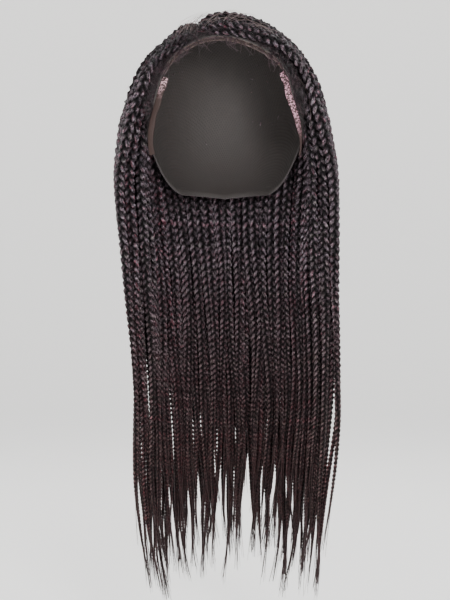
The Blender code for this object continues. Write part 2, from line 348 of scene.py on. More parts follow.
def depth_range(layer, v):
    """Inner and outer depth of a layer at v: what the layers under it take up, then its own."""
    share = read_table(HANG, v - 1.0)[..., DEPTH]
    under = np.zeros_like(v)
    for row in LAYERS[layer + 1 :]:
        under += grown(row, v)
    own = grown(LAYERS[layer], v)
    seat = CAP_WALL + SEAT_GAP
    return seat + share * under, seat + share * (under + own)


def make_mesh(name, points, faces, uv=None, **values):
    """One smooth object from points, a list of arrays of faces, a UV and values for each point."""
    mesh = bpy.data.meshes.new(name)
    corners = np.concatenate([np.asarray(f).ravel() for f in faces]).astype(np.int32)
    sizes = np.concatenate([np.full(len(f), np.asarray(f).shape[1]) for f in faces])
    starts = np.concatenate([[0], np.cumsum(sizes)[:-1]]).astype(np.int32)
    mesh.vertices.add(len(points))
    mesh.vertices.foreach_set("co", np.asarray(points, np.float32).ravel())
    mesh.loops.add(len(corners))
    mesh.loops.foreach_set("vertex_index", corners)
    mesh.polygons.add(len(sizes))
    mesh.polygons.foreach_set("loop_start", starts)
    mesh.update(calc_edges=True)
    if uv is not None:
        layer = mesh.uv_layers.new(name="UVMap")
        layer.uv.foreach_set("vector", np.asarray(uv, np.float32)[corners].ravel())
    for key, value in values.items():
        attribute = mesh.attributes.new(key, "FLOAT", "POINT")
        attribute.data.foreach_set("value", np.asarray(value, np.float32))
    mesh.shade_smooth()
    mesh.validate()
    piece = bpy.data.objects.new(name, mesh)
    bpy.context.scene.collection.objects.link(piece)
    return piece


def read_along(at, length, columns):
    """Each column of an array, whose rows lie at the given lengths, read at other lengths."""
    return np.stack([np.interp(at, length, column) for column in columns.T], -1)


def tubes(paths, side, out, wide, deep, sides):
    """Elliptic tubes along paths (tube, step, xyz): path + cos a * wide * side + sin a * deep * out.

    Returns points, quads, end caps, and a UV of (share round, length along) for each point.
    """
    count, steps, _ = paths.shape
    turn = np.arange(sides) / sides * 2 * math.pi
    ring = np.cos(turn)[:, None] * (wide[..., None] * side)[:, :, None]
    ring = ring + np.sin(turn)[:, None] * (deep[..., None] * out)[:, :, None]
    points = (paths[:, :, None] + ring).reshape(-1, 3)
    index = np.arange(count * steps * sides).reshape(count, steps, sides)
    after = np.roll(index, -1, axis=2)
    quads = np.stack([index[:, :-1], after[:, :-1], after[:, 1:], index[:, 1:]], -1).reshape(-1, 4)
    caps = np.concatenate([index[:, 0, ::-1], index[:, -1]])
    length = np.linalg.norm(np.diff(paths, axis=1), axis=-1).cumsum(axis=1)
    length = np.concatenate([np.zeros((count, 1)), length], axis=1)
    around = np.broadcast_to(np.arange(sides) / sides, (count, steps, sides))
    along = np.broadcast_to(length[..., None], (count, steps, sides))
    return points, quads, caps, np.stack([around, along], -1).reshape(-1, 2)


def frames_along(paths, out):
    """Side and outward directions square to each path: side = out x path, outward = path x side."""
    ahead = unit(np.gradient(paths, axis=1))
    side = unit(np.cross(out, ahead))
    return side, np.cross(ahead, side)


class Bundle:
    """Gathers tubes of several sizes and makes one mesh of them."""

    def __init__(self):
        """Starts with no tubes."""
        self.points = []
        self.faces = []
        self.uv = []
        self.tone = []
        self.crest = []
        self.total = 0

    def add(self, paths, side, out, wide, deep, sides, tone, crest=None):
        """Adds tubes with a tone each and a painted light value for each point, 1 if none is given.
        """
        points, quads, caps, uv = tubes(paths, side, out, wide, deep, sides)
        each = len(points) // len(paths)
        self.points.append(points)
        self.faces += [quads + self.total, caps + self.total]
        self.uv.append(uv)
        self.tone.append(np.repeat(tone, each))
        self.crest.append(np.ones(len(points)) if crest is None else crest(points))
        self.total += len(points)

    def build(self, name):
        """Makes one object of all that was added."""
        lists = (self.points, self.uv, self.tone, self.crest)
        points, uv, tone, crest = map(np.concatenate, lists)
        return make_mesh(name, points, self.faces, uv=uv, tone=tone, crest=crest)


def hairs(bundle, paths, radius, tone, taper=0.35):
    """Fine three-sided tubes along paths, thinner towards the end, in any steady frame."""
    steps = paths.shape[1]
    ahead = unit(np.gradient(paths, axis=1))
    across = np.where(np.abs(ahead[..., 2:]) < 0.9, (0.0, 0.0, 1.0), (1.0, 0.0, 0.0))
    side = unit(np.cross(ahead, across))
    wide = radius[:, None] * (1.0 - (1.0 - taper) * np.linspace(0.0, 1.0, steps) ** 2)
    bundle.add(paths, side, np.cross(ahead, side), wide, wide, 3, tone)


def two_sines(rates, v, first, second):
    """An uneven wave along v: a slow sine plus a smaller, faster one."""
    return np.sin(rates[0] * v + first) + SECOND_WAVE * np.sin(rates[1] * v + second)


def braid_line(layer, u_middle, v_tip, rank, rng):
    """The middle line of one braid with its directions, width and the turn of its plait.

    The line is flow line u at the middle of its layer, drawn to a clump near the tip, plus a sway
    that is a sum of two sines and grows with the drop. Its face is turned about the line by another
    such sum. The turn grows by a third of a full turn for each stitch, and a stitch is a fixed
    share of the width. Of a lock's three braids, the middle one (rank 0) has the room of all three
    at the root, and its neighbours come up from under it.
    """
    row = LAYERS[layer]
    v_root = row[LAYER_ROOT]
    if rank and not layer:
        v_root = SIDE_ROOT * rng.uniform(*SIDE_ROOT_RANGE)
    v = np.linspace(v_root, v_tip, FINE_STEPS)
    drop = np.clip(v - 1.0, 0.0, 1.0)
    clump = np.round(u_middle * CLUMPS) / CLUMPS + rng.normal(0.0, CLUMP_MISS)
    u = u_middle + (clump - u_middle) * CLUMP_SHARE * ease((drop - CLUMP_FROM) / CLUMP_RUN)
    inner, outer = depth_range(layer, v)
    open_out = ease((v - v_root) / SHARED_STRETCH) if not layer else np.ones_like(v)
    rise = row[HEIGHT_IN_LAYER] + DEPTH_SPREAD * rng.uniform(-1.0, 1.0)
    rise = rise + (1.0 - open_out) * (SIDE_SINK if rank else MIDDLE_RISE)
    depth = inner + (outer - inner) * rise
    centre = place(u, v, depth)
    span = place(u + U_STEP, v, depth) - place(u - U_STEP, v, depth)
    out = unit(place(u, v, depth + DEPTH_STEP) - place(u, v, depth - DEPTH_STEP))
    pitch = np.linalg.norm(span, axis=1) / U_STEP / (row[1] * BRAIDS_A_LOCK)
    side = unit(np.cross(out, unit(np.gradient(centre, axis=0))))
    phase = rng.uniform(0.0, 2 * math.pi, 4)
    across = two_sines(SWAY_RATES, v, phase[0], phase[1])
    lift = two_sines(SWAY_RATES, v, phase[2], phase[3])
    grow = SWAY_TOP + (SWAY_TIP - SWAY_TOP) * ease(drop)
    centre = centre + side * (across * grow)[:, None] + out * (lift * grow * SWAY_DEPTH)[:, None]
    ahead = unit(np.gradient(centre, axis=0))
    side = unit(np.cross(out, ahead))
    out = np.cross(ahead, side)
    outward = out
    twist = two_sines(TWIST_RATES, v, phase[1], phase[2])
    twist = twist * (TWIST_TOP + (TWIST_TIP - TWIST_TOP) * ease(v / TWIST_GROWN))
    # Below the temples a braid turns its broad side, the outer or the inner one, to the front
    front = -1.0 if faces_front(u_middle) else 1.0
    turn = np.unwrap(np.arctan2(-side[:, 1] * front, out[:, 1] * front))
    facing = FACING_SHARE * ease((v - FACING_FROM) / FACING_RUN)
    twist = (twist + turn * facing)[:, None]
    side, out = np.cos(twist) * side + np.sin(twist) * out, np.cos(twist) * out - np.sin(twist) * side
    steps = np.linalg.norm(np.diff(centre, axis=0), axis=1)
    length = np.concatenate([[0.0], np.cumsum(steps)])
    width = read_table(HANG, v - 1.0)[:, WIDTH] * MM * rng.uniform(*WIDTH_RANGE)
    room = CROWD + (1.0 - open_out) * (SIDE_ROOM if rank else MIDDLE_ROOM)
    width = np.maximum(np.minimum(width, room * pitch), THINNEST)
    width = width * (ROOT_SHARE + (1.0 - ROOT_SHARE) * ease(length / ROOT_LENGTH))
    width = width * (TIP_SHARE + (1.0 - TIP_SHARE) * ease((length[-1] - length) / TIP_LENGTH))
    rate = 2 * math.pi / (3.0 * STITCH * np.maximum(width, FINEST_PLAIT))
    turn = np.concatenate([[0.0], np.cumsum((rate[1:] + rate[:-1]) / 2 * steps)])
    return centre, side, out, width, turn, length, outward


def faces_front(u):
    """Whether a braid hangs beside the face, where its outer side is the one seen from the front."""
    return abs(u) > FRONT_SHARE


def plait(bundle, layer, line, face, rng):
    """Three strands round one line: across = a sin(turn), lift = b sin(2 turn), a third apart.

    A strand is thin where it dives in the middle and plump at the edges. Each point gets a value of
    painted light: painted shade deep in the braid and where a strand dives, rising to a painted
    highlight near the braid's outline, read from its oval distance to the line, and near the top of
    its bead. With face 1 the arrows of the outer side point up.
    """
    centre, side, out, width, turn, *_ = line
    sides = LAYERS[layer][STRAND_SIDES]
    steps = max(int(turn[-1] / (2 * math.pi) * LAYERS[layer][TURN_POINTS]), 8)
    even = np.linspace(0.0, turn[-1], steps)
    read = read_along(even, turn, np.concatenate([centre, side, out, width[:, None]], axis=1))
    centre, side, out, width = read[:, :3], unit(read[:, 3:6]), unit(read[:, 6:9]), read[:, 9]
    angle = even[None] + np.arange(3)[:, None] * 2 * math.pi / 3 + rng.uniform(0.0, 6.0)
    across = SWING * width * np.sin(angle)
    lift = face * LIFT * width * np.sin(2 * angle)
    paths = centre[None] + across[..., None] * side[None] + lift[..., None] * out[None]
    strand_side, strand_out = frames_along(paths, np.broadcast_to(out[None], paths.shape))
    plump = PINCH + EDGE_GAIN * np.sin(angle) ** 2 + TOP_GAIN * np.abs(np.sin(2 * angle))
    tone = rng.uniform(*BRAID_TONE) + rng.uniform(-STRAND_TONE, STRAND_TONE, 3)

    def crest(points):
        """Painted light and shade: an S-shaped rise with the oval distance to the line, times a share
        of the bead's sine.
        """
        offset = points.reshape(*paths.shape[:2], sides, 3) - centre[None, :, None]
        x = (offset * side[None, :, None]).sum(-1) / (OUTLINE[0] * width)[None, :, None]
        y = (offset * out[None, :, None]).sum(-1) / (OUTLINE[1] * width)[None, :, None]
        outline = ease((np.hypot(x, y) - CREST_FROM) / (1.0 - CREST_FROM))
        bead = BEAD_DARK + (1.0 - BEAD_DARK) * np.abs(np.sin(angle)) ** BEAD_POWER
        return (outline * bead[..., None]).ravel()

    wide = STRAND_WIDE * width * plump
    deep = STRAND_DEEP * width * plump
    bundle.add(paths, strand_side, strand_out, wide, deep, sides, tone, crest)


def tip_wisps(bundle, line, rng):
    """Loose ends of one braid: lines that leave the braid above its end and fan out a little."""
    centre, side, out, width, _, length, _ = line
    start = length[-1] - rng.uniform(*WISP_START, WISPS) * TIP_LENGTH
    stop = length[-1] + rng.uniform(*WISP_PAST, WISPS) * MM
    share = np.linspace(0.0, 1.0, WISP_STEPS)
    at = start[:, None] + (stop - start)[:, None] * share
    read = [read_along(at, length, a) for a in (centre, side, out)]
    past = np.maximum(at - length[-1], 0.0)[..., None] * unit(centre[-1] - centre[-2])
    angle = rng.uniform(0.0, 2 * math.pi, WISPS)[:, None]
    fan = rng.uniform(*WISP_FAN, WISPS)[:, None] * WISP_SPREAD * share**2
    reach = fan + WISP_ROOT * width[-WISP_WIDTH_STEP]
    curl = angle + rng.normal(0.0, WISP_CURL, WISPS)[:, None] * share
    paths = read[0] + past + (reach * np.cos(curl))[..., None] * read[1]
    paths = paths + (reach * np.sin(curl))[..., None] * read[2]
    radius = rng.uniform(*WISP_RADIUS, WISPS) * MM
    hairs(bundle, paths, radius, rng.uniform(*WISP_TONE, WISPS))


def strays(bundle, line, rng):
    """Short hairs that stand off one braid: along its surface direction, mirrored off the head."""
    centre, side, out, width, _, length, outward = line
    at = rng.uniform(*STRAY_PLACES, STRAYS) * length[-1]
    start, side, out, outward = (read_along(at, length, a) for a in (centre, side, out, outward))
    ahead = unit(read_along(at + 1 * MM, length, centre) - start)
    angle = rng.uniform(0.0, 2 * math.pi, STRAYS)[:, None]
    away = np.cos(angle) * side + np.sin(angle) * out
    away = away - 2.0 * np.minimum((away * outward).sum(-1, keepdims=True), 0.0) * outward
    reach = rng.uniform(*STRAY_REACH, STRAYS) * MM
    rise = rng.uniform(*STRAY_RISE, STRAYS) * reach
    share = np.linspace(0.0, 1.0, STRAY_STEPS)[None, :, None]
    paths = (start + away * (STRAY_START * np.interp(at, length, width))[:, None])[:, None]
    paths = paths + ahead[:, None] * reach[:, None, None] * share
    paths = paths + away[:, None] * rise[:, None, None] * share**STRAY_POWER
    radius = rng.uniform(*STRAY_RADIUS, STRAYS) * MM
    hairs(bundle, paths, radius, rng.uniform(*STRAY_TONE, STRAYS))


def build_braids(finish):
    """Every lock's braids as one piece in its place, and all tips and strays as two more."""
    wisps = Bundle()
    fuzz = Bundle()
    for layer, row in enumerate(LAYERS):
        name, locks = row[:2]
        for lock in range(locks):
            rng = np.random.default_rng([SEED, layer, lock])
            bundle = Bundle()
            for braid in range(BRAIDS_A_LOCK):
                share = (lock + (braid + 0.5) / BRAIDS_A_LOCK) / locks
                u = (2.0 * share - 1.0) * row[SWEEP_FILL]
                if layer:
                    u = np.clip(u + rng.normal(0.0, PLACE_SCATTER), -1.0, 1.0)
                v_tip = 1.0 + rng.uniform(*row[DROP_RANGE])
                line = braid_line(layer, u, v_tip, braid - 1, rng)
                face = 1.0 if layer == 0 or faces_front(u) else -1.0
                plait(bundle, layer, line, face, rng)
                tip_wisps(wisps, line, rng)
                strays(fuzz, line, rng)
            node = f"{name}_lock_{lock + 1:02d}"
            dress(bundle.build(f"{name}_braids_{lock + 1:02d}"), finish, "braided_hair", node)
    dress(wisps.build("loose_tips"), finish, "braided_hair")
    dress(fuzz.build("stray_hairs"), finish, "braided_hair")


def dress(piece, finish, slot, *nodes):
    """Gives a piece its material and its body and hides the nodes that it stands for; slot is not
    used.
    """
    piece.data.materials.append(finish)
    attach(piece, "root")
    if nodes:
        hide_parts(*nodes)
    return piece


def face_edge(share):
    """Places along the edge of the face opening, at shares of the way from foot to foot."""
    return through(FACE_EDGE, share)


def edge_frame(spots):
    """Points on the head along an edge, with the directions along it, out of the cap and off it."""
    points = on_head(spots, 0.0)
    off = unit(on_head(spots, CAP_WALL) - points)
    along = unit(np.gradient(points, axis=0))
    away = unit(np.cross(along, off))
    return points, along, away, off


def solidify(piece, wall):
    """Gives an open surface its wall on the outer side."""
    modifier = piece.modifiers.new("Wall", "SOLIDIFY")
    modifier.thickness = wall
    modifier.offset = 1.0


def grid_faces(rows, columns, closed=False):
    """Quads of a grid of points, row by row, joined round if closed."""
    index = np.arange(rows * columns).reshape(rows, columns)
    after = np.roll(index, -1, axis=1)
    if not closed:
        index = index[:, :-1]
        after = after[:, :-1]
    return np.stack([index[:-1], after[:-1], after[1:], index[1:]], -1).reshape(-1, 4)


# Steps of the cap's surface, and the elastic edge round its ears and nape
CAP_RINGS = 26
CAP_FRONT_STEPS = 91
CAP_SIDE_STEPS = 44
EDGE_CORD = 1.3 * MM
EDGE_CORD_FLATNESS = 1.7
EDGE_CORD_SIDES = 8


def cap_edge():
    """Places round the cap: over the forehead, round the right ear, the nape and the left ear."""
    last = len(FACE_EDGE) - 1
    front = face_edge(np.linspace(CORNER_ROW / last, 1.0 - CORNER_ROW / last, CAP_FRONT_STEPS))
    side = np.concatenate([front[-1:], EAR_EDGE, [NAPE_POINT]])
    right = through(side, np.linspace(0.0, 1.0, CAP_SIDE_STEPS))[1:]
    left = right[::-1][1:-1] * (-1.0, 1.0)
    return np.concatenate([front, right, left])


def build_cap(finish, edge_finish):
    """The cap's edge drawn in towards one place on the crown in even steps, then given its wall."""
    edge = cap_edge()
    centre = np.array(CAP_CENTRE)
    shrink = np.linspace(1.0, 0.0, CAP_RINGS + 1)[:-1, None, None]
    spots = (centre + (edge - centre) * shrink).reshape(-1, 2)
    spots = np.concatenate([spots, [centre]])
    count = len(edge)
    first = (CAP_RINGS - 1) * count
    index = np.arange(count)
    fan = np.stack([first + index, first + (index + 1) % count, np.full(count, len(spots) - 1)], -1)
    faces = [grid_faces(CAP_RINGS, count, closed=True), fan]
    uv = spots * (HEAD_WIDTH + HEAD_LENGTH) / 4 * math.pi / 2
    piece = make_mesh("net_cap", on_head(spots, 0.0), faces, uv=uv)
    solidify(piece, CAP_WALL)
    dress(piece, finish, "cap_net", "cap")
    side = edge[CAP_FRONT_STEPS - 1 :]
    points, _, away, off = edge_frame(side)
    path = (points - away * EDGE_CORD / 2 + off * CAP_WALL / 2)[None]
    size = np.full(path.shape[:2], EDGE_CORD / 2)
    cord = Bundle()
    wide = size * EDGE_CORD_FLATNESS
    cord.add(path, away[None], off[None], wide, size, EDGE_CORD_SIDES, np.array([0.5]))
    binding = dress(cord.build("cap_binding"), edge_finish, "cap_net")


# Cells of the lace, thickness of its threads and its strip, and its borders: (place across, threads)
LACE_CELL = 1.5 * MM
LACE_THREAD = 0.07 * MM
LACE_WALL = 1.0 * MM
LACE_BORDERS = ((0.0, 3.0), (1.0, 2.0))
LACE_STEPS = 161
LACE_THREAD_STEPS = 9


def build_lace(finish):
    """Threads of a diamond net on a strip: lines that climb and fall across it, and two borders."""
    last = len(FACE_EDGE) - 1
    share = np.linspace(TEMPLE_ROW / last, 1.0 - TEMPLE_ROW / last, LACE_STEPS)
    points, _, away, off = edge_frame(face_edge(share))
    length = np.concatenate([[0.0], np.cumsum(np.linalg.norm(np.diff(points, axis=0), axis=1))])
    middle = np.sin(np.linspace(0.0, math.pi, LACE_STEPS)) ** LACE_WIDENING
    width = LACE_WIDTH * (LACE_END + (1.0 - LACE_END) * middle)

    def at(distance, rise):
        """Points on the strip at distances along it and shares of its width."""
        near, across, over = (read_along(distance, length, a) for a in (points, away, off))
        reach = np.interp(distance, length, width)[..., None]
        return near + across * (PIECE_GAP + reach * rise[..., None]) + over * LACE_WALL / 2

    def thread(distance, rise, size):
        """Adds threads of one thickness to the net."""
        count = len(distance)
        hairs(net, at(distance, rise), np.full(count, size), np.full(count, 0.5), taper=1.0)

    net = Bundle()
    share = np.linspace(0.0, 1.0, LACE_THREAD_STEPS)
    distance = np.arange(-LACE_WIDTH, length[-1], LACE_CELL)[:, None] + LACE_WIDTH * share[None]
    distance = distance[(distance[:, 0] >= 0.0) & (distance[:, -1] <= length[-1])]
    for rise in (share, 1.0 - share):
        thread(distance, np.broadcast_to(rise, distance.shape), LACE_THREAD)
    for edge, threads in LACE_BORDERS:
        distance = np.linspace(0.0, length[-1], LACE_STEPS)[None]
        thread(distance, np.full(distance.shape, edge), LACE_THREAD * threads)
    dress(net.build("lace_net"), finish, "front_lace", "lace_front")


# Steps of a tab, its length, its start above the temple as a share of a row and of its length, and
# the small waves along its free edge and across it
TAB_STEPS = 56
TAB_COLUMNS = 7
TAB_LENGTH = 75 * MM
TAB_ABOVE = 0.15
TAB_TOP = 0.1
TAB_WAVE = 0.5 * MM
TAB_WAVES = 23.0


def build_tab(name, side, curl, finish, node):
    """A band from the temple down past the ear's top, flared off the head and curled at its foot."""
    last = len(FACE_EDGE) - 1
    share = np.linspace(TEMPLE_ROW - TAB_ABOVE, 0.0, TAB_STEPS) / last
    spots = face_edge(share if side < 0 else 1.0 - share)
    points, _, away, off = edge_frame(spots)
    away = away * side
    down = np.linspace(TAB_TOP, 1.0, TAB_STEPS)[:, None]
    flare = TAB_FLARE * ease((down - TAB_FLARE_FROM) / (1.0 - TAB_FLARE_FROM))
    turned_out = curl * ease((down - TAB_CURL_FROM) / (1.0 - TAB_CURL_FROM))
    turned_out = turned_out + TAB_WAVE * np.sin(down * TAB_WAVES)
    near = points + away * PIECE_GAP + off * flare
    tilt = math.radians(TAB_TILT_DEG)
    faceward = away * math.cos(tilt) - off * math.sin(tilt)
    far = near + faceward * TAB_WIDTH * (1.0 - TAB_TAPER * down**2) + off * turned_out
    across = np.linspace(0.0, 1.0, TAB_COLUMNS)[None, :, None]
    arch = off[:, None] * TAB_WAVE * np.sin(math.pi * across)
    grid = near[:, None] * (1.0 - across) + far[:, None] * across + arch
    uv = np.stack(np.broadcast_arrays(across[..., 0] * TAB_WIDTH, down * TAB_LENGTH), -1)
    faces = grid_faces(TAB_STEPS, TAB_COLUMNS)
    if side > 0:
        faces = faces[:, ::-1]
    piece = make_mesh(name, grid.reshape(-1, 3), [faces], uv=uv.reshape(-1, 2))
    solidify(piece, TAB_WALL)
    dress(piece, finish, "tab_cloth", node)


# Short woolly hair along the hairline. Places are shares of the face edge from foot to foot, reach
# is in places on the cap, heights and radii are in millimetres, headings and turns in radians.
ROOT_HAIRS = 1900
ROOT_STRETCH = (0.11, 0.89)
ROOT_PLACES = (-0.006, 0.045)
ROOT_REACH = (0.045, 0.12)
ROOT_HEIGHT = (1.5, 10.0)
ROOT_LIFT = 0.2 * MM
ROOT_RADIUS = (0.14, 0.34)
ROOT_TONE = (0.0, 0.9)
ROOT_TURN = 1.6
ROOT_STEPS = 6
ROOT_RISE = 1.1
HEADING_SPREAD = 0.75
EDGE_STEP = 0.004
# A share of them is moved to the right, where they also reach further over the braids
WOOLLY_SHARE = 0.30
WOOLLY_FROM = 0.56
WOOLLY_RUN = 0.33
WOOLLY_REACH = 0.7
WOOLLY_EDGE = 0.55
WOOLLY_EASE = 0.1
# Long light strays over the crown
LONG_STRAYS = 60
LONG_STRETCH = (0.34, 0.76)
LONG_PLACES = (0.03, 0.16)
LONG_HEADING = (0.0, 1.1)
LONG_REACH = (0.14, 0.40)
LONG_TURN = (-0.3, 0.4)
LONG_HEIGHT = (10.0, 13.0)
LONG_RISE = (0.35, 1.2)
LONG_RADIUS = (0.14, 0.24)
LONG_TONE = (0.9, 1.0)
LONG_STEPS = 12
# Short hair along the parting, as shares of a flow line
PARTING_HAIRS = 260
PARTING_REACH = (0.04, 0.16)
PARTING_SWING = 0.02
PARTING_HEIGHT = (4.0, 8.0)
PARTING_ARC = math.pi * 0.55
PARTING_RADIUS = (0.12, 0.28)
PARTING_TONE = (0.0, 0.7)
# Baby hair on the forehead
BABY_HAIRS = 120
BABY_STRETCH = (0.29, 0.73)
BABY_REACH = (0.06, 0.20)
BABY_TURN = 1.8
BABY_DEPTH = 0.9
BABY_ARCH = (0.0, 1.4)
BABY_RADIUS = (0.20, 0.36)
BABY_TONE = (0.5, 0.9)
BABY_STEPS = 10
FOREHEAD_REACH = -81 * MM


def curls(start, heading, reach, turn, steps):
    """Paths of places that walk on with a heading that turns steadily: arcs on the cap."""
    share = np.linspace(0.0, 1.0, steps)
    angle = heading[:, None] + turn[:, None] * share
    walk = np.stack([np.cos(angle), np.sin(angle)], -1) * (reach / steps)[:, None, None]
    return start[:, None] + np.cumsum(walk, axis=1)


def edge_headings(share):
    """Places on the face edge, the heading along it to the right and the one into the hair."""
    along = unit(face_edge(share + EDGE_STEP) - face_edge(share - EDGE_STEP))
    inward = np.stack([-along[:, 1], along[:, 0]], -1)
    return face_edge(share), along, inward


def heading_of(directions):
    """The angle of each direction in the plane of places."""
    return np.arctan2(directions[:, 1], directions[:, 0])


def hairline_hair(finish):
    """Short woolly hair from the hairline up over the first braids, and a few long strays.

    Each hair is an arc on the cap that starts near the face edge, heads into the hair and rises
    by an S-shaped curve from the net to over the braids.
    """
    rng = np.random.default_rng([SEED, 100])
    bundle = Bundle()
    count = ROOT_HAIRS
    share = rng.uniform(*ROOT_STRETCH, count)
    moved = rng.uniform(size=count) < WOOLLY_SHARE
    share = np.where(moved, WOOLLY_FROM + WOOLLY_RUN * share, share)
    spots, _, inward = edge_headings(share)
    start = spots + inward * rng.uniform(*ROOT_PLACES, count)[:, None]
    heading = heading_of(inward) + rng.normal(0.0, HEADING_SPREAD, count)
    further = 1.0 + WOOLLY_REACH * ease((share - WOOLLY_EDGE) / WOOLLY_EASE)
    reach = rng.uniform(*ROOT_REACH, count) * further
    path = curls(start, heading, reach, rng.normal(0.0, ROOT_TURN, count), ROOT_STEPS)
    height = rng.uniform(*ROOT_HEIGHT, count)[:, None] * MM
    rise = ease(np.linspace(0.0, 1.0, ROOT_STEPS) * ROOT_RISE)
    paths = on_head(path, CAP_WALL + ROOT_LIFT + height * rise)
    hairs(bundle, paths, rng.uniform(*ROOT_RADIUS, count) * MM, rng.uniform(*ROOT_TONE, count))

    count = LONG_STRAYS
    spots, along, inward = edge_headings(rng.uniform(*LONG_STRETCH, count))
    start = spots + inward * rng.uniform(*LONG_PLACES, count)[:, None]
    heading = heading_of(along) + rng.uniform(*LONG_HEADING, count)
    reach = rng.uniform(*LONG_REACH, count)
    path = curls(start, heading, reach, rng.normal(*LONG_TURN, count), LONG_STEPS)
    t = np.linspace(0.0, 1.0, LONG_STEPS)
    height = rng.uniform(*LONG_HEIGHT, count)[:, None] * MM
    paths = on_head(path, CAP_WALL + height * ease(LONG_RISE[0] + t * LONG_RISE[1]))
    hairs(bundle, paths, rng.uniform(*LONG_RADIUS, count) * MM, rng.uniform(*LONG_TONE, count))

    count = PARTING_HAIRS
    u = rng.uniform(-1.0, 1.0, count)
    reach = rng.uniform(*PARTING_REACH, count)
    v = np.clip(t * reach[:, None], 0.0, 1.0)
    swing = u[:, None] + rng.normal(0.0, PARTING_SWING, count)[:, None] * t
    height = rng.uniform(*PARTING_HEIGHT, count)[:, None] * MM
    depth = CAP_WALL + ROOT_LIFT + height * np.sin(t * PARTING_ARC)
    paths = place(np.clip(swing, -1.0, 1.0), v, depth)
    tone = rng.uniform(*PARTING_TONE, count)
    hairs(bundle, paths, rng.uniform(*PARTING_RADIUS, count) * MM, tone)
    dress(bundle.build("hairline_hair"), finish, "braided_hair")


def baby_hair(finish):
    """Wisps laid on the forehead: arcs on the head that start at the hairline and head forward."""
    rng = np.random.default_rng([SEED, 101])
    count = BABY_HAIRS
    spots, _, inward = edge_headings(rng.uniform(*BABY_STRETCH, count))
    heading = heading_of(-inward) + rng.normal(0.0, HEADING_SPREAD, count)
    reach = rng.uniform(*BABY_REACH, count)
    path = curls(spots, heading, reach, rng.normal(0.0, BABY_TURN, count), BABY_STEPS)
    arch = rng.uniform(*BABY_ARCH, count)[:, None] * np.sin(np.linspace(0.0, math.pi, BABY_STEPS))
    paths = on_head(path, (BABY_DEPTH + arch) * MM)
    paths[..., 1] = np.maximum(paths[..., 1], FOREHEAD_REACH)
    bundle = Bundle()
    hairs(bundle, paths, rng.uniform(*BABY_RADIUS, count) * MM, rng.uniform(*BABY_TONE, count))
    dress(bundle.build("baby_hair"), finish, "braided_hair")


def linear(code):
    """A colour from its sRGB hex code, turned to linear with an alpha of 1."""
    values = [int(code[i : i + 2], 16) / 255 for i in (1, 3, 5)]
    straight = [c / 12.92 if c <= 0.04045 else ((c + 0.055) / 1.055) ** 2.4 for c in values]
    return (*straight, 1.0)


def fill_inputs(tree, made, inputs):
    """Sets a node's inputs to values, or links them where the value is a socket."""
    for name, value in inputs.items():
        if isinstance(value, bpy.types.NodeSocket):
            tree.links.new(value, made.inputs[name])
        else:
            made.inputs[name].default_value = value


def node(tree, kind, inputs, stops=(), **settings):
    """Adds a node with its properties, inputs and (place, hex code) colour stops: its outputs."""
    made = tree.nodes.new("ShaderNode" + kind)
    for key, value in settings.items():
        setattr(made, key, value)
    fill_inputs(tree, made, inputs)
    if stops:
        elements = made.color_ramp.elements
        while len(elements) < len(stops):
            elements.new(0.5)
        for element, (spot, code) in zip(elements, stops):
            element.position = spot
            element.color = linear(code)
    return made.outputs


def new_material(name):
    """A material with its tree and its one Principled shader."""
    material = bpy.data.materials.new(name)
    material.use_nodes = True
    return material.node_tree, material.node_tree.nodes["Principled BSDF"], material


# Bundles of fibres a strand: ten round it, 1.3 mm across on a thick braid, and 2.5 mm along
BUNDLES = (10.0, 400.0, 1.0)
# Lightness of the hair at the crown as a share of that below, the heights between which it grows,
# and those between which the hair turns from mauve black to burgundy black
ROOT_LIGHT = 0.6
DARK_ROOTS = (0.01, -0.09)
BURGUNDY_HEIGHTS = (-0.20, -0.42)
# Colours of a fibre from painted shade deep in the braid to painted highlight, above and below,
# and the tints of its bundles
UPPER_HAIR = (
    (0.00, "#050404"),
    (0.18, "#1b1719"),
    (0.42, "#5f5359"),
    (0.75, "#92858b"),
    (1.00, "#b9adb3"),
)
LOWER_HAIR = (
    (0.00, "#080505"),
    (0.18, "#201616"),
    (0.42, "#534140"),
    (0.75, "#7d6765"),
    (1.00, "#a38d8b"),
)
HAIR_TINTS = (
    (0.00, "#c3cbbc"),
    (0.35, "#cfd2d8"),
    (0.70, "#dbd3d8"),
    (0.90, "#ecbcc6"),
    (1.00, "#f0a4b2"),
)


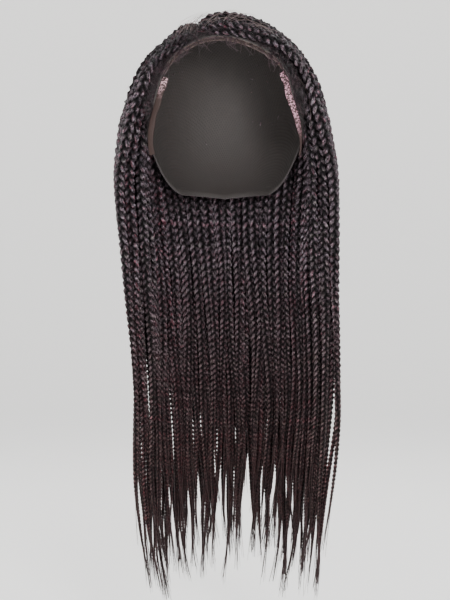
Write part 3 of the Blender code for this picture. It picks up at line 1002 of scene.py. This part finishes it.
def braiding_fibre():
    """Modacrylic braiding hair, a mix of black, mauve grey and burgundy: crimped satin fibres."""
    tree, shader, material = new_material("braiding_fibre")
    place_uv = node(tree, "UVMap", {}, uv_map="UVMap")["UV"]
    position = node(tree, "TexCoord", {})["Object"]
    height = node(tree, "SeparateXYZ", {"Vector": position})["Z"]
    tone = node(tree, "Attribute", {}, attribute_name="tone")["Fac"]
    crest = node(tree, "Attribute", {}, attribute_name="crest")["Fac"]
    # Each bundle takes its own random share of the painted light and of the bump, half of it from the
    # fibres in it
    stretched = node(tree, "Mapping", {"Vector": place_uv, "Scale": BUNDLES})["Vector"]
    cells = {"Vector": stretched, "Scale": 1.0, "Randomness": 1.0}
    bundles = node(tree, "SeparateColor", {"Color": node(tree, "TexVoronoi", cells)["Color"]})
    noise = {"Vector": stretched, "Scale": 1.6, "Detail": 3.0, "Roughness": 0.75}
    fibres = {"Value": node(tree, "TexNoise", noise)["Fac"], "From Min": 0.40, "From Max": 0.60}
    fibres = node(tree, "MapRange", fibres)["Result"]
    share = {"Value": bundles["Red"], "From Min": 0.1, "From Max": 1.0}
    share = node(tree, "MapRange", share)["Result"]
    half = node(tree, "Math", {0: fibres, 1: 0.5}, operation="MULTIPLY")[0]
    spread = node(tree, "Math", {0: share, 1: 0.5, 2: half}, operation="MULTIPLY_ADD")[0]
    # The roots are dyed darker, and the lower half is more burgundy
    below = {"Value": height, "From Min": DARK_ROOTS[0], "From Max": DARK_ROOTS[1]}
    below = node(tree, "MapRange", below)["Result"]
    root = {0: below, 1: 1.0 - ROOT_LIGHT, 2: ROOT_LIGHT}
    root = node(tree, "Math", root, operation="MULTIPLY_ADD")[0]
    # Painted light: the value below runs from painted shade deep in the braid and where strands dive
    # to painted highlights on each bead's crest
    painted_lightness = node(tree, "Math", {0: spread, 1: crest}, operation="MULTIPLY")[0]
    painted_lightness = node(tree, "Math", {0: painted_lightness, 1: root}, operation="MULTIPLY")[0]
    lower = {"Value": height, "From Min": BURGUNDY_HEIGHTS[0], "From Max": BURGUNDY_HEIGHTS[1]}
    lower = node(tree, "MapRange", lower)["Result"]
    upper_colour = node(tree, "ValToRGB", {"Fac": painted_lightness}, UPPER_HAIR)["Color"]
    lower_colour = node(tree, "ValToRGB", {"Fac": painted_lightness}, LOWER_HAIR)["Color"]
    colour = {"Factor": lower, "A": upper_colour, "B": lower_colour}
    colour = node(tree, "Mix", colour, data_type="RGBA")["Result"]
    # A braid's tone and a bundle's own draw choose the tint
    mixed = node(tree, "Math", {0: tone, 1: 0.6, 2: bundles["Green"]}, operation="MULTIPLY_ADD")[0]
    mixed = node(tree, "MapRange", {"Value": mixed, "From Min": 0.15, "From Max": 1.45})["Result"]
    tint = node(tree, "ValToRGB", {"Fac": mixed}, HAIR_TINTS)["Color"]
    tinted = {"Factor": 1.0, "A": colour, "B": tint}
    tinted = node(tree, "Mix", tinted, data_type="RGBA", blend_type="MULTIPLY")["Result"]
    bump = {"Height": spread, "Strength": 0.9, "Distance": 0.7 * MM}
    tangent = node(tree, "Tangent", {}, direction_type="UV_MAP", uv_map="UVMap")["Tangent"]
    finish = {
        "Base Color": tinted,
        "Normal": node(tree, "Bump", bump)["Normal"],
        "Tangent": tangent,
        "Specular Tint": tint,
        "Anisotropic": 0.7,
        "Roughness": 0.42,
        "Specular IOR Level": 0.15,
    }
    fill_inputs(tree, shader, finish)
    return material


def fine_hair():
    """Single modacrylic fibres at the hairline: dark, a little burgundy, satin."""
    tree, shader, material = new_material("fine_hair")
    tone = node(tree, "Attribute", {}, attribute_name="tone")["Fac"]
    stops = ((0.0, "#050304"), (0.45, "#140d10"), (0.86, "#3c2930"), (1.0, "#75635f"))
    colour = node(tree, "ValToRGB", {"Fac": tone}, stops)["Color"]
    fill_inputs(tree, shader, {"Base Color": colour, "Roughness": 0.45})
    return material


def cap_net_cloth():
    """Stretch net of nylon, knitted in fine diamonds: matt and nearly black."""
    tree, shader, material = new_material("cap_net_cloth")
    place_uv = node(tree, "UVMap", {}, uv_map="UVMap")["UV"]
    bands = []
    for slant in (math.radians(45), math.radians(-45)):
        turned = {"Vector": place_uv, "Rotation": (0.0, 0.0, slant)}
        turned = node(tree, "Mapping", turned)["Vector"]
        # A thread every 3.1 mm: coarser than the real 1 mm, so that it shows
        bands.append(node(tree, "TexWave", {"Vector": turned, "Scale": 100.0})["Fac"])
    threads = node(tree, "Math", {0: bands[0], 1: bands[1]}, operation="MAXIMUM")[0]
    stops = ((0.55, "#1d1918"), (0.95, "#282220"))
    colour = node(tree, "ValToRGB", {"Fac": threads}, stops)["Color"]
    bump = node(tree, "Bump", {"Height": threads, "Strength": 0.6, "Distance": 0.5 * MM})
    fill_inputs(tree, shader, {"Base Color": colour, "Normal": bump["Normal"], "Roughness": 0.75})
    return material


def elastic_cloth():
    """Covered elastic: a woven cord with a rib every 2 mm, matt black-brown."""
    tree, shader, material = new_material("elastic_cloth")
    place_uv = node(tree, "UVMap", {}, uv_map="UVMap")["UV"]
    wave = {"Vector": place_uv, "Scale": 160.0}
    ribs = node(tree, "TexWave", wave, bands_direction="Y")["Fac"]
    stops = ((0.2, "#141011"), (0.9, "#383032"))
    colour = node(tree, "ValToRGB", {"Fac": ribs}, stops)["Color"]
    bump = node(tree, "Bump", {"Height": ribs, "Strength": 0.5, "Distance": 0.4 * MM})
    fill_inputs(tree, shader, {"Base Color": colour, "Normal": bump["Normal"], "Roughness": 0.8})
    return material


def lace_thread():
    """Fine polyester lace thread in a light mauve brown, a little glossy."""
    tree, shader, material = new_material("lace_thread")
    tone = node(tree, "Attribute", {}, attribute_name="tone")["Fac"]
    stops = ((0.0, "#5d4c48"), (1.0, "#6b5853"))
    colour = node(tree, "ValToRGB", {"Fac": tone}, stops)["Color"]
    fill_inputs(tree, shader, {"Base Color": colour, "Roughness": 0.5})
    return material


def tab_cloth(name, base, painted_glint, heights):
    """Thin polyurethane-backed cloth with glitter, smooth and mauve brown, its glints painted as
    specks.
    """
    tree, shader, material = new_material(name)
    position = node(tree, "TexCoord", {})["Object"]
    height = node(tree, "SeparateXYZ", {"Vector": position})["Z"]
    # Glitter in grains of 1.1 mm, its glints painted as bright specks, lies on the upper stretch and
    # ends between two heights
    upper = {"Value": height, "From Min": heights[0], "From Max": heights[1]}
    upper = node(tree, "MapRange", upper)["Result"]
    specks = node(tree, "TexVoronoi", {"Vector": position, "Scale": 900.0})["Color"]
    stops = ((0.45, "#000000"), (0.60, "#ffffff"))
    painted_glints = node(tree, "ValToRGB", {"Fac": specks}, stops)["Color"]
    share = node(tree, "Math", {0: painted_glints, 1: upper}, operation="MULTIPLY")[0]
    colour = {"Factor": share, "A": linear(base), "B": linear(painted_glint)}
    bump = {"Height": share, "Strength": 0.5, "Distance": 0.3 * MM}
    finish = {
        "Base Color": node(tree, "Mix", colour, data_type="RGBA")["Result"],
        "Normal": node(tree, "Bump", bump)["Normal"],
        "Roughness": 0.5,
        "Specular IOR Level": 0.08,
    }
    fill_inputs(tree, shader, finish)
    return material


# Studio: where the photograph was taken from, and a round pale room with a coved floor
CAMERA_DISTANCE = 1.700
CAMERA_HEIGHT = -0.267
CAMERA_LENS = 105.3
ROOM_FLOOR = -0.62
ROOM_RADIUS = 4.5
ROOM_COVE = 2.0
ROOM_TOP = 2.2
ROOM_STEPS = 96
COVE_STEPS = 24
WORLD_STRENGTH = 1.0
ROOM_GLOW = 0.34
# Lamps: name, place, target, side of the square in metres, watts
LAMPS = (
    ("key", (0.45, -2.0, 0.05), (0.0, 0.0, -0.25), 0.35, 58.0),
    ("fill", (-0.5, -2.0, 0.0), (-0.05, 0.0, -0.25), 0.6, 12.0),
    ("back_left", (-1.2, 1.5, 1.3), (0.0, 0.0, -0.25), 0.5, 18.0),
    ("back_right", (1.2, 1.5, 1.3), (0.0, 0.0, -0.25), 0.5, 18.0),
)


def build_stage():
    """A round floor whose rim turns up through a quarter circle into a wall: a turned profile."""
    turn = np.linspace(0.0, math.pi / 2, COVE_STEPS)
    radius = ROOM_RADIUS + ROOM_COVE * np.sin(turn)
    height = ROOM_FLOOR + ROOM_COVE * (1.0 - np.cos(turn))
    radius = np.concatenate([[0.1 * MM, ROOM_RADIUS / 2], radius, radius[-1:]])
    height = np.concatenate([[ROOM_FLOOR, ROOM_FLOOR], height, [ROOM_TOP]])[:, None]
    around = np.arange(ROOM_STEPS) / ROOM_STEPS * 2 * math.pi
    x = radius[:, None] * np.cos(around)
    y = radius[:, None] * np.sin(around)
    grid = np.stack([x, y, np.broadcast_to(height, x.shape)], -1)
    faces = grid_faces(len(radius), ROOM_STEPS, closed=True)[:, ::-1]
    room = make_mesh("studio_room", grid.reshape(-1, 3), [faces])
    tree, shader, material = new_material("room_paint")
    paint = {"Base Color": linear("#f6f5f3"), "Roughness": 0.9}
    glow = {"Emission Color": linear("#ffffff"), "Emission Strength": ROOM_GLOW}
    fill_inputs(tree, shader, {**paint, **glow})
    room.data.materials.append(material)
    world = bpy.data.worlds.new("studio")
    bpy.context.scene.world = world
    world.use_nodes = True
    background = world.node_tree.nodes["Background"]
    background.inputs["Color"].default_value = linear("#ffffff")
    background.inputs["Strength"].default_value = WORLD_STRENGTH
    for name, spot, target, size, power in LAMPS:
        light = bpy.data.lights.new(name, "AREA")
        light.size = size
        light.energy = power
        lamp = bpy.data.objects.new(name, light)
        lamp.location = spot
        lamp.rotation_euler = aim(np.array(target) - np.array(spot))
        bpy.context.scene.collection.objects.link(lamp)


def aim(direction):
    """Euler angles that turn a lamp's -Z axis along a direction."""
    x, y, z = direction / np.linalg.norm(direction)
    return (math.acos(-z), 0.0, math.atan2(y, x) - math.pi / 2)


def build_camera():
    """A camera level with the middle of the wig, straight in front of it."""
    data = bpy.data.cameras.new("camera")
    data.lens = CAMERA_LENS
    camera = bpy.data.objects.new("camera", data)
    camera.location = (0.0, -CAMERA_DISTANCE, CAMERA_HEIGHT)
    camera.rotation_euler = (math.pi / 2, 0.0, 0.0)
    bpy.context.scene.collection.objects.link(camera)
    bpy.context.scene.camera = camera


# Tabs: (piece, node, side of the face, curl of the foot), (material, its colour, the painted glint
# colour of its glitter, heights between which the glitter ends). On the left tab the glitter at
# its top is also a painted highlight.
TABS = (
    (
        ("left_ear_tab", "ear_tab_left", -1.0, 0.0),
        ("tab_left", "#2b211f", "#a08288", (-0.078, -0.060)),
    ),
    (
        ("right_ear_tab", "ear_tab_right", 1.0, TAB_CURL),
        ("tab_right", "#2f2423", "#9a7380", (-0.115, -0.085)),
    ),
)

build_camera()
build_stage()
fibre = braiding_fibre()
single = fine_hair()
build_braids(fibre)
build_cap(cap_net_cloth(), elastic_cloth())
build_lace(lace_thread())
for (piece_name, node_name, face_side, foot_curl), cloth in TABS:
    build_tab(piece_name, face_side, foot_curl, tab_cloth(*cloth), node_name)
hairline_hair(single)
baby_hair(single)
